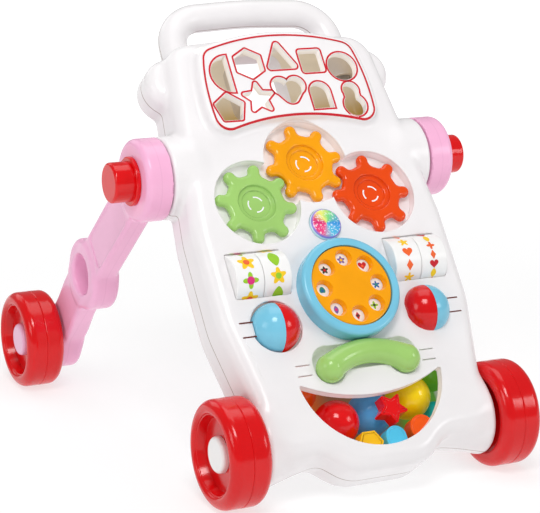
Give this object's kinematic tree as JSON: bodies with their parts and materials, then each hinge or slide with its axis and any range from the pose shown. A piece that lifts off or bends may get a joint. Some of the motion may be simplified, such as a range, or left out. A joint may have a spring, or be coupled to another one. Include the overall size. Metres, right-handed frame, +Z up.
{
  "type": "baby walker",
  "caption": "Push-along baby walker with a tilted activity panel, shape sorter, gears, dial, rollers, spinner balls, handset, smile bin, folding clamp-locked rear legs and wheels.",
  "frame": {"origin": "floor point under the middle of the bounding box", "axes": "+X to the viewer's right, +Y back towards the child, +Z up"},
  "size_m": [0.4366, 0.56, 0.4565],
  "materials": {
    "white_shell": "moulded, satin gloss",
    "pink_leg": "moulded, satin gloss",
    "red_plastic": "moulded, gloss",
    "gear_green": "moulded, gloss",
    "gear_orange": "moulded, gloss",
    "gear_red": "moulded, gloss",
    "light_blue": "moulded, gloss",
    "dial_orange": "moulded, gloss",
    "picture_card": "printed card",
    "roller_print": "printed drum",
    "button_print": "printed cap",
    "handset_green": "moulded, gloss",
    "steel": "drawn rod and screws",
    "board": "circuit board",
    "black_plastic": "speaker",
    "cell_wrap": "cell sleeve",
    "toy_blue": "blow-moulded",
    "toy_yellow": "blow-moulded",
    "toy_teal": "blow-moulded",
    "toy_green": "blow-moulded",
    "toy_orange": "blow-moulded",
    "toy_cyan": "moulded block",
    "toy_amber": "moulded block"
  },
  "bodies": {
    "walker_body": {"front_shell": "white_shell", "rear_shell": "white_shell", "handle_front": "white_shell", "handle_rear": "white_shell", "sorter_plate": "white_shell", "shell_screws": "steel", "gear_posts": "white_shell", "dial_ring": "light_blue", "dial_card": "picture_card", "dial_spindle": "white_shell", "roller_rods": "steel", "spinner_rods": "steel", "circuit_board": "board", "speaker": "black_plastic", "batteries": "cell_wrap", "battery_door": "white_shell", "clamp_nut_left": "white_shell", "clamp_nut_right": "white_shell", "axle_pin_front_left": "white_shell", "axle_pin_front_right": "white_shell", "ball_red": "red_plastic", "ball_blue": "toy_blue", "ball_yellow": "toy_yellow", "ball_teal": "toy_teal", "ball_green": "toy_green", "ball_orange": "toy_orange", "block_arch": "toy_cyan", "block_hexagon": "toy_amber", "block_round": "toy_orange"},
    "leg_left": {"leg_outer_left": "pink_leg", "leg_inner_left": "pink_leg", "axle_pin_rear_left": "pink_leg"},
    "knob_left": {"lock_knob_left": "red_plastic"},
    "wheel_front_left": {"wheel_front_outer_left": "red_plastic", "wheel_front_inner_left": "red_plastic"},
    "wheel_rear_left": {"wheel_rear_outer_left": "red_plastic", "wheel_rear_inner_left": "red_plastic"},
    "roller_inner_left": {"roller_inner_left": "roller_print"},
    "roller_outer_left": {"roller_outer_left": "roller_print"},
    "spinner_left": {"spinner_outer_left": "light_blue", "spinner_inner_left": "red_plastic"},
    "leg_right": {"leg_outer_right": "pink_leg", "leg_inner_right": "pink_leg", "axle_pin_rear_right": "pink_leg"},
    "knob_right": {"lock_knob_right": "red_plastic"},
    "wheel_front_right": {"wheel_front_outer_right": "red_plastic", "wheel_front_inner_right": "red_plastic"},
    "wheel_rear_right": {"wheel_rear_outer_right": "red_plastic", "wheel_rear_inner_right": "red_plastic"},
    "roller_inner_right": {"roller_inner_right": "roller_print"},
    "roller_outer_right": {"roller_outer_right": "roller_print"},
    "spinner_right": {"spinner_outer_right": "light_blue", "spinner_inner_right": "red_plastic"},
    "gear_orange": {"gear_orange": "gear_orange"},
    "gear_green": {"gear_green": "gear_green"},
    "gear_red": {"gear_red": "gear_red"},
    "dial": {"dial_disc": "dial_orange"},
    "light_button": {"light_button": "button_print"},
    "handset": {"handset": "handset_green"},
    "block_star": {"block_star": "red_plastic"}
  },
  "joints": [
    {"name": "leg_left_fold", "type": "hinge", "parent": "walker_body", "child": "leg_left", "pos_m": [-0.17, -0.03969, 0.29219], "axis": [-1, 0, 0], "range_deg": [0, 60]},
    {"name": "knob_left_turn", "type": "hinge", "parent": "walker_body", "child": "knob_left", "pos_m": [-0.19, -0.03969, 0.29219], "axis": [1, 0, 0], "range_deg": [0, 360]},
    {"name": "wheel_front_left_spin", "type": "hinge", "parent": "walker_body", "child": "wheel_front_left", "pos_m": [-0.1537, -0.225, 0.055], "axis": [1, 0, 0], "continuous": true},
    {"name": "wheel_rear_left_spin", "type": "hinge", "parent": "leg_left", "child": "wheel_rear_left", "pos_m": [-0.1963, 0.225, 0.055], "axis": [1, 0, 0], "continuous": true},
    {"name": "roller_inner_left_spin", "type": "hinge", "parent": "walker_body", "child": "roller_inner_left", "pos_m": [-0.07518, -0.14351, 0.20478], "axis": [1, 0, 0], "continuous": true},
    {"name": "roller_outer_left_spin", "type": "hinge", "parent": "walker_body", "child": "roller_outer_left", "pos_m": [-0.10633, -0.14351, 0.20478], "axis": [1, 0, 0], "continuous": true},
    {"name": "spinner_left_spin", "type": "hinge", "parent": "walker_body", "child": "spinner_left", "pos_m": [-0.0867, -0.18382, 0.16293], "axis": [1, 0, 0], "continuous": true},
    {"name": "leg_right_fold", "type": "hinge", "parent": "walker_body", "child": "leg_right", "pos_m": [0.17, -0.03969, 0.29219], "axis": [-1, 0, 0], "range_deg": [0, 60]},
    {"name": "knob_right_turn", "type": "hinge", "parent": "walker_body", "child": "knob_right", "pos_m": [0.19, -0.03969, 0.29219], "axis": [1, 0, 0], "range_deg": [0, 360]},
    {"name": "wheel_front_right_spin", "type": "hinge", "parent": "walker_body", "child": "wheel_front_right", "pos_m": [0.1537, -0.225, 0.055], "axis": [1, 0, 0], "continuous": true},
    {"name": "wheel_rear_right_spin", "type": "hinge", "parent": "leg_right", "child": "wheel_rear_right", "pos_m": [0.1963, 0.225, 0.055], "axis": [1, 0, 0], "continuous": true},
    {"name": "roller_inner_right_spin", "type": "hinge", "parent": "walker_body", "child": "roller_inner_right", "pos_m": [0.07518, -0.14351, 0.20478], "axis": [1, 0, 0], "continuous": true},
    {"name": "roller_outer_right_spin", "type": "hinge", "parent": "walker_body", "child": "roller_outer_right", "pos_m": [0.10633, -0.14351, 0.20478], "axis": [1, 0, 0], "continuous": true},
    {"name": "spinner_right_spin", "type": "hinge", "parent": "walker_body", "child": "spinner_right", "pos_m": [0.0867, -0.18382, 0.16293], "axis": [1, 0, 0], "continuous": true},
    {"name": "gear_orange_spin", "type": "hinge", "parent": "walker_body", "child": "gear_orange", "pos_m": [0, -0.07108, 0.30073], "axis": [0, -0.788, 0.6157], "continuous": true},
    {"name": "gear_green_spin", "type": "hinge", "parent": "walker_body", "child": "gear_green", "pos_m": [-0.06729, -0.09633, 0.26842], "axis": [0, -0.788, 0.6157], "continuous": true},
    {"name": "gear_red_spin", "type": "hinge", "parent": "walker_body", "child": "gear_red", "pos_m": [0.06729, -0.09633, 0.26842], "axis": [0, -0.788, 0.6157], "continuous": true},
    {"name": "dial_turn", "type": "hinge", "parent": "walker_body", "child": "dial", "pos_m": [0, -0.18077, 0.19607], "axis": [0, -0.788, 0.6157], "continuous": true},
    {"name": "light_button_press", "type": "slide", "parent": "walker_body", "child": "light_button", "axis": [0, 0.788, -0.6157], "range_m": [0, 0.003], "stiffness_N_per_m": 400, "springref_m": -0.002},
    {"name": "handset_lift", "type": "slide", "parent": "walker_body", "child": "handset", "axis": [0, -0.788, 0.6157], "range_m": [0, 0.08]},
    {"name": "block_star_out", "type": "slide", "parent": "walker_body", "child": "block_star", "axis": [0, -0.788, 0.6157], "range_m": [0, 0.08]}
  ],
  "couplings": [
    {"joint": "gear_green_spin", "follows": "gear_orange_spin", "ratio": -1},
    {"joint": "gear_red_spin", "follows": "gear_orange_spin", "ratio": -1}
  ]
}
